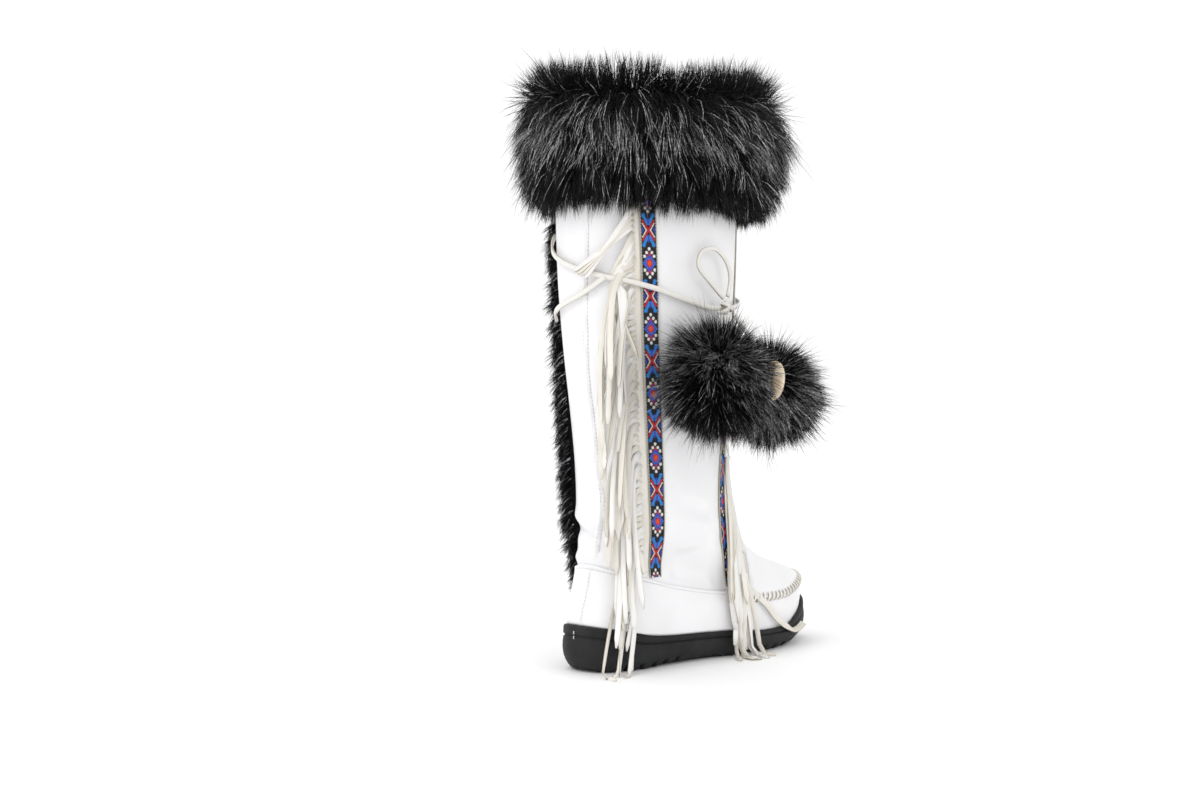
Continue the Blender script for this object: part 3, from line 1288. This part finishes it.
rear_tie = Pile()
tie(rear_tie, TIE_REAR, TIE_LIFT_REAR, 90, KNOT + [-1, -4, 0])
tie(rear_tie, TIE_LOW, TIE_LIFT_REAR + 0.4)
rear_tie.make("tie_band_rear", THONG_LOOKS, ("tie_band_rear",))
front_tie = Pile()
tie(front_tie, TIE_FRONT, TIE_LIFT_FRONT)
front_tie.make("tie_band_front", THONG_LOOKS, ("tie_band_front",))


# Fur
HAIR_LEVELS = np.array([0, 0.4, 0.75, 1.0])
HAIR_WIDTHS = np.array([0.9, 1.0, 0.65])
# Number of hairs and locks, shortest and longest, thinnest and thickest in millimetres,
# how much a lock's tips draw together, and how far hairs stand up.
COATS = {
    "cuff": (36000, 1100, (20, 34), (0.22, 0.5), 0.45, 0.62),
    "flap": (16000, 1400, (9, 17), (0.28, 0.62), 0.2, 0.6),
    "pompom": (20000, 800, (15, 24), (0.22, 0.48), 0.35, 0.8),
}
# Silver hairs are coarser than black ones.
SILVER_WIDTH = 1.5
# Box that the longest hairs stay in.
HAIR_LOW = np.array([-118.0, -74.0, 40.0])
HAIR_HIGH = np.array([144.0, 240.0, 474.0])


def lock_of(points, count, rng):
    """Number of the lock that each root belongs to."""
    seeds = points[rng.choice(len(points), count, replace=False)]
    nearest = np.empty(len(points), int)
    for start in range(0, len(points), 4000):
        part = points[start:start + 4000]
        nearest[start:start + 4000] = ((part[:, None] - seeds[None]) ** 2).sum(-1).argmin(1)
    return nearest


def add_hairs(pile, coat, roots, normals, flow, length, rng, silver):
    """Tapered strips from roots, first along the normal and then bending into the flow.

    silver is each hair's chance to be silver."""
    _, locks, _, widths, pull, lift = COATS[coat]
    locks = int(locks * HAIR_SHARE)
    count = len(roots)
    width = rng.uniform(*widths, count)
    lock = lock_of(roots, locks, rng)
    length = length * rng.uniform(0.78, 1.15, locks)[lock]
    flow = unit(flow + rng.normal(0, 0.2, (locks, 3))[lock] + rng.normal(0, 0.12, (count, 3)))
    first = unit(normals * lift + flow * 0.45 + rng.normal(0, 0.12, (count, 3)))
    run = length[:, None]
    knee = roots + first * run * 0.45
    tips = roots + (first * 0.45 + flow * 0.6 + rng.normal(0, 0.07, (count, 3))) * run
    total = np.zeros((locks, 3))
    np.add.at(total, lock, tips)
    mean = total / np.maximum(np.bincount(lock, minlength=locks), 1)[:, None]
    tips += (mean[lock] - tips) * (rng.uniform(0.2, 1.0, count) * pull)[:, None]
    inset = rng.uniform(0, 8, (count, 1))
    tips = np.clip(tips, HAIR_LOW + inset, HAIR_HIGH - inset)
    t = HAIR_LEVELS[:, None, None]
    line = roots * (1 - t) ** 2 + knee * 2 * t * (1 - t) + tips * t * t
    ahead = unit(np.gradient(line, axis=0))
    facing = unit(normals + rng.normal(0, 0.5, (count, 3)))
    side = unit(np.cross(ahead, facing[None]))
    grey = rng.random(count) < silver * rng.uniform(0.2, 1.8, locks)[lock]
    width = width * np.where(grey, SILVER_WIDTH, 1)
    half = (width[:, None] / 2 * HAIR_WIDTHS)[..., None]
    left = line[:3] - side[:3] * np.moveaxis(half, 1, 0)
    right = line[:3] + side[:3] * np.moveaxis(half, 1, 0)
    points = np.stack([left[0], right[0], left[1], right[1], left[2], right[2], line[3]], 1)
    base = np.arange(count)[:, None] * 7
    quads = np.concatenate([base + [0, 1, 3, 2], base + [2, 3, 5, 4]])
    look = grey.astype(int) + 1
    pile.add(points, (quads, np.concatenate([look, look])), (base + [4, 5, 6], look))


CUFF_HEIGHT = 95
CUFF_DEPTH = 34.5
CUFF_LEAN = 0.34
CUFF_RISE = 22
CUFF_DIP = 20
CUFF_TOP_DIP = 6
# Share of the cuff's depth that the body under the hairs has, and how far it stays from
# the top and from the hem in millimetres.
CUFF_BODY = 0.66
CUFF_TOP_INSET = (1 - CUFF_BODY) * 30
CUFF_HEM_INSET = (1 - CUFF_BODY) * 40
CUFF_AROUND = 120
CUFF_ROWS = 34
# up is a share of the cuff's height, out of its depth.
CUFF_SHAPE = np.array([
    (0, 0.1), (0.02, 0.42), (0.08, 0.7), (0.2, 0.88), (0.34, 0.97), (0.58, 1), (0.76, 0.95),
    (0.87, 0.83), (0.94, 0.66), (0.985, 0.46), (1.0, 0.25), (0.98, 0.05),
])


def cuff_surface(turn, p):
    """Point of the cuff's body at a turn and a share p of its profile's length."""
    reach = reach_along(CUFF_SHAPE * (CUFF_HEIGHT, CUFF_DEPTH))
    up = np.interp(p * reach[-1], reach, CUFF_SHAPE[:, 0])
    out = np.interp(p * reach[-1], reach, CUFF_SHAPE[:, 1])
    front = np.cos(turn * 2 * np.pi)
    frontness = 0.5 + 0.5 * front
    top = SHAFT_HEIGHT + CUFF_RISE - CUFF_TOP_DIP * frontness - CUFF_TOP_INSET
    hem = SHAFT_HEIGHT + CUFF_RISE - CUFF_HEIGHT - CUFF_DIP * frontness
    low = hem + CUFF_HEM_INSET
    depth = CUFF_DEPTH * (1 + CUFF_LEAN * front) * CUFF_BODY
    return skin(turn, low + (top - low) * up, CLEARANCE + out * depth)


def cuff_piece():
    rng = np.random.default_rng(21)
    pile = Pile()
    turn, p = np.meshgrid(np.arange(CUFF_AROUND) / CUFF_AROUND, np.linspace(0, 1, CUFF_ROWS))
    outer = cuff_surface(turn, p)
    inner = skin(turn, outer[..., 2].clip(outer[0, :, 2], outer[-1, :, 2]), CLEARANCE)
    points, faces = slab(outer, inner, wrap=True)
    pile.add(points, (faces, 0))
    hairs, _, lengths = COATS["cuff"][:3]
    count = int(hairs * HAIR_SHARE)
    at = rng.random(count)
    p = rng.random(count)
    # More hairs grow along the top and the hem.
    edges = rng.random(count)
    at_top, at_hem = rng.normal(0.9, 0.05, count), rng.normal(0.08, 0.05, count)
    p = np.clip(np.where(edges < 0.16, at_top, np.where(edges > 0.86, at_hem, p)), 0, 1)
    roots = cuff_surface(at, p)
    du = cuff_surface(at + 0.004, p) - cuff_surface(at - 0.004, p)
    above = cuff_surface(at, np.minimum(p + 0.01, 1))
    below = cuff_surface(at, np.maximum(p - 0.01, 0))
    out = unit(np.cross(above - below, du))
    high = ease(p + rng.normal(0, 0.06, count), 0.74, 0.96)
    inward = ease(p, 0.93, 1.0)
    hem = 1 - ease(p, 0.04, 0.3)
    front = 0.5 + 0.5 * np.cos((at - 0.06) * 2 * np.pi)
    flow = np.stack([np.zeros(count), np.zeros(count), high * 1.55 - 1], -1)
    flow = unit(flow + out * (0.22 + 0.38 * high)[:, None] * (1 - inward)[:, None])
    length = rng.uniform(*lengths, count) * (1 - 0.18 * high - hem * (0.2 + 0.3 * front))
    length = length * (1 + front * (0.3 * bump_curve(p, 0.75, 0.2) - 0.25 * bump_curve(p, 0.3, 0.2)))
    stray = rng.random(count) < 0.07
    length = np.where(stray, length * 1.35, length)
    silver = 0.015 + 0.27 * bump_curve(p, 0.52, 0.2)
    add_hairs(pile, "cuff", roots, out, flow, length, rng, silver)
    return pile.make("fur_cuff", FUR_LOOKS, ("fur_cuff",))


cuff_piece()

# Edges of the placket's two strips. up is a share of SHAFT_HEIGHT, the rear edge, the slit
# and the front edge are shares of SOLE_LENGTH from the heel.
PLACKET = np.array([
    (0.105, 0.2, 0.37, 0.46), (0.14, 0.165, 0.365, 0.5), (0.2, 0.15, 0.385, 0.53),
    (0.28, 0.147, 0.405, 0.545), (0.4, 0.152, 0.415, 0.555), (0.55, 0.17, 0.42, 0.575),
    (0.7, 0.175, 0.425, 0.59), (0.8, 0.165, 0.43, 0.6),
])
REAR_EDGE, SLIT_EDGE, FRONT_EDGE = 1, 2, 3
SLIT_GAP = 0.008
FLAP_DEPTH = 14
FLAP_BODY = 0.8
FLAP_COLS = 16
FLAP_ROWS = 70
# Lift of a strip low down, where it lies over the quarter band, and the heights between
# which that lift ends, in millimetres.
OVER_BAND = 2.2
OVER_BAND_HEIGHTS = (62, 70)


def flap_surface(first, last, gap, low, high, across, v):
    """Turn, row and share of the fur's depth at a place on a strip."""
    up = low + (high - low) * v
    start = y_of(table_at(PLACKET, first, up) + gap[0])
    end = y_of(table_at(PLACKET, last, up) - gap[1])
    height = up * SHAFT_HEIGHT
    turn = turn_at(height, start + (end - start) * across, True)
    pile_high = np.minimum(ease(across, -0.12, 0.22), ease(1 - across, -0.12, 0.22))
    pile_high = pile_high * np.minimum(ease(v, -0.02, 0.06), ease(1 - v, -0.02, 0.06))
    row = row_at_height(turn, height)
    return turn, row, pile_high


def flap_piece(name, first, last, gap, low, high, skew, seed):
    """A fur strip. skew above 1 puts more hairs to its rear edge."""
    rng = np.random.default_rng(seed)
    pile = Pile()
    across, v = np.meshgrid(np.linspace(0, 1, FLAP_COLS), np.linspace(0, 1, FLAP_ROWS))
    turn, row, rise = flap_surface(first, last, gap, low, high, across, v)
    band = OVER_BAND * (1 - ease(surface(turn, row)[..., 2], *OVER_BAND_HEIGHTS))
    outer = offset(turn, row, CLEARANCE + 0.4 + band + rise * FLAP_DEPTH * FLAP_BODY)
    inner = offset(turn, row, CLEARANCE + band)
    points, faces = slab(outer, inner)
    pile.add(points, (faces, 0))
    hairs, _, lengths = COATS["flap"][:3]
    count = int(hairs * HAIR_SHARE)
    across, v = rng.random(count) ** skew, rng.random(count)
    turn, row, rise = flap_surface(first, last, gap, low, high, across, v)
    out = normal(turn, row)
    roots = surface(turn, row) + out * (CLEARANCE + 0.6 + rise * FLAP_DEPTH * FLAP_BODY)[:, None]
    edge = (across - 0.5) * 2
    sideways = unit(np.cross([0, 0, 1.0], out))
    flow = unit(np.array([0, 0, -1.0]) + out * 0.2 - sideways * (edge ** 3 * 0.9)[:, None])
    length = rng.uniform(*lengths, count)
    add_hairs(pile, "flap", roots, out, flow, length, rng, np.full(count, 0.09))
    return pile.make(name, FUR_LOOKS, (name,))


flap_piece("fur_flap_rear", REAR_EDGE, SLIT_EDGE, (0, SLIT_GAP), 0.13, 0.815, 1.5, 31)
flap_piece("fur_flap_front", SLIT_EDGE, FRONT_EDGE, (SLIT_GAP, 0), 0.112, 0.795, 0.8, 32)


BALL_AROUND = 32
BALL_ROWS = 20


def pompom_piece(name, centre, size, seed):
    rng = np.random.default_rng(seed)
    pile = Pile()
    around = np.arange(BALL_AROUND) / BALL_AROUND * 2 * np.pi
    turn, polar = np.meshgrid(around, np.linspace(0.02, np.pi - 0.02, BALL_ROWS))
    ball = np.stack([np.sin(turn) * np.sin(polar), np.cos(turn) * np.sin(polar), -np.cos(polar)], -1)
    pile.add(centre + ball * POMPOM_CORE * size, (grid_faces(BALL_ROWS, BALL_AROUND, wrap=True), 0))
    hairs, _, lengths = COATS["pompom"][:3]
    count = int(hairs * HAIR_SHARE)
    out = unit(rng.normal(0, 1, (count, 3)))
    roots = centre + out * POMPOM_CORE * size
    to_knot = unit(KNOT - centre)
    flow = unit(out * 0.75 - to_knot * (1 - np.abs(out @ to_knot))[:, None] * 0.8 - [0, 0, 0.15])
    length = rng.uniform(*lengths, count) * size
    stray = rng.random(count) < 0.14
    length = np.where(stray, length * rng.uniform(1.15, 1.75, count), length)
    silver = 0.05 + 0.3 * bump_curve(out @ to_knot, 0.0, 0.5)
    add_hairs(pile, "pompom", roots, out, flow, length, rng, silver)
    return pile.make(name, FUR_LOOKS, (name,))


pompom_piece("pompom_rear", POMPOM_REAR + [-2.5, -2.5, 3.5], 1.07, 41)
pompom_piece("pompom_front", POMPOM_FRONT + [-4, -4, -4.5], 1.0, 42)

# Lacing over the slit
LACE_LIFT = FLAP_DEPTH + 2.6
LACE_BARS = (0.225, 0.762)
LACE_LOWEST = 0.319
LACE_PITCH = 0.088
LACE_CROSSINGS = 5
LACE_HALF = 12
LACE_RISE = 0.02


def lace(pile, ups, shifts, lift, count):
    line = resample(np.column_stack([ups, shifts]), count)
    height = line[:, 0] * SHAFT_HEIGHT
    slit = y_of(table_at(PLACKET, SLIT_EDGE, line[:, 0]))
    turn = turn_at(height, slit + line[:, 1], True)
    row = row_at_height(turn, height)
    thong(pile, offset(turn, row, lift), normal(turn, row), THONG_WIDTH, THONG_THICKNESS * 0.8)


def lacing_piece():
    pile = Pile()
    for hand in (-1, 1):
        ups, shifts = [LACE_BARS[1]], [hand * LACE_HALF]
        for k in range(LACE_CROSSINGS):
            centre = LACE_LOWEST + (LACE_CROSSINGS - 1 - k) * LACE_PITCH
            side = hand * (-1 if k % 2 else 1) * LACE_HALF
            ups += [centre + LACE_RISE, centre - LACE_RISE]
            shifts += [side, -side]
        ups.append(LACE_BARS[0])
        shifts.append(-hand * LACE_HALF)
        lace(pile, ups, shifts, LACE_LIFT + hand * 0.5, 160)
    for up in LACE_BARS:
        lace(pile, np.full(4, up), np.array([-1.25, -0.4, 0.4, 1.25]) * LACE_HALF, LACE_LIFT, 14)
    return pile.make("lacing", THONG_LOOKS, ("lacing",))


lacing_piece()

# Cowrie shells
SHELL_LENGTH = 30
SHELL_WIDTH = 18
SHELL_AROUND = 64
SHELL_ROWS = 50
SLOT_DEPTH = 2.6
LIP_HEIGHT = 0.6
# Pitch of the teeth over 2 pi.
TOOTH_SCALE = 0.85


def cowrie_piece(name, centre, facing):
    """A cowrie with its long axis upright and its toothed slot to where it faces."""
    around = np.arange(SHELL_AROUND) / SHELL_AROUND * 2 * np.pi
    angle, t = np.meshgrid(around, np.linspace(0.01, 0.99, SHELL_ROWS))
    long = -np.cos(t * np.pi)
    ring = np.sin(t * np.pi) ** 0.85
    x = np.sin(angle) * ring * SHELL_WIDTH / 2 * (1 + 0.1 * long)
    face = np.cos(angle)
    z = face * ring * SHELL_WIDTH * np.where(face > 0, 0.27, 0.42)
    y = long * SHELL_LENGTH / 2
    front = face > 0
    teeth = 0.5 + 0.5 * np.cos(y / TOOTH_SCALE)
    slot = np.exp(-((x - 0.25 * np.sin(y / 5)) / (0.95 + 0.5 * teeth)) ** 4)
    slot = slot * (np.abs(y) < SHELL_LENGTH * 0.42) * front
    lips = bump_curve(np.abs(x), 3.2, 1.8) * front * ease(SHELL_LENGTH * 0.46 - np.abs(y), 0, 3)
    z = z - slot * SLOT_DEPTH + lips * LIP_HEIGHT
    facing = unit(np.asarray(facing, float))
    across = unit(np.cross([0, 0, 1.0], facing))
    tall = np.cross(facing, across)
    points = centre + x[..., None] * across + y[..., None] * tall + z[..., None] * facing
    deep = slot > 0.45
    faces = grid_faces(SHELL_ROWS, SHELL_AROUND, wrap=True)
    look = (deep.reshape(-1)[faces].mean(1) > 0.5).astype(int)
    return add_piece(name, points, faces, [SHELL, SHELL_SLOT], (name,), look)


def node_centre(name):
    low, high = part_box(name)
    return (np.array(low) + np.array(high)) / 2 / MM


SHELL_TURN = np.array([0.687])
SHELL_UP = 0.945
SHELL_SUNK = 6
shell_facing = normal(SHELL_TURN, row_at_height(SHELL_TURN, SHELL_UP * SHAFT_HEIGHT))[0]
shell_centre = node_centre("cowrie_cuff") - shell_facing * SHELL_SUNK + [2, 6, 0]
cowrie_piece("cowrie_cuff", shell_centre, shell_facing)
cowrie_piece("cowrie_pompom", node_centre("cowrie_pompom"), (0.15, -0.97, 0.12))

# Floor, lights and sky
floor_look = new_look("pale_floor", (0.97, 0.97, 0.97), 0.8)
mottle(floor_look, 2, 2.0, (0.965, 0.965, 0.966), (0.975, 0.975, 0.975))
bpy.ops.mesh.primitive_plane_add(size=90, location=(0, 0, 0))
floor = bpy.context.object
floor.name = "floor"
floor.data.materials.append(floor_look)

world = bpy.data.worlds.new("soft_sky")
world.use_nodes = True
world.node_tree.nodes["Background"].inputs["Color"].default_value = (1, 1, 1, 1)
world.node_tree.nodes["Background"].inputs["Strength"].default_value = 1.04
bpy.context.scene.world = world
bpy.context.scene.view_settings.view_transform = "Standard"


def soft_light(name, place, size, power):
    data = bpy.data.lights.new(name, "AREA")
    data.shape = "DISK"
    data.size = size
    data.energy = power
    lamp = bpy.data.objects.new(name, data)
    lamp.location = place
    target = Vector((0, 0.05, 0.2))
    lamp.rotation_euler = (target - Vector(place)).to_track_quat("-Z", "Y").to_euler()
    bpy.context.scene.collection.objects.link(lamp)


soft_light("key_light", (0.2, -1.5, 1.7), 1.0, 9)
soft_light("side_light", (1.7, 0.2, 1.2), 0.9, 2.5)
soft_light("top_light", (-0.5, 0.3, 2.1), 1.2, 6)
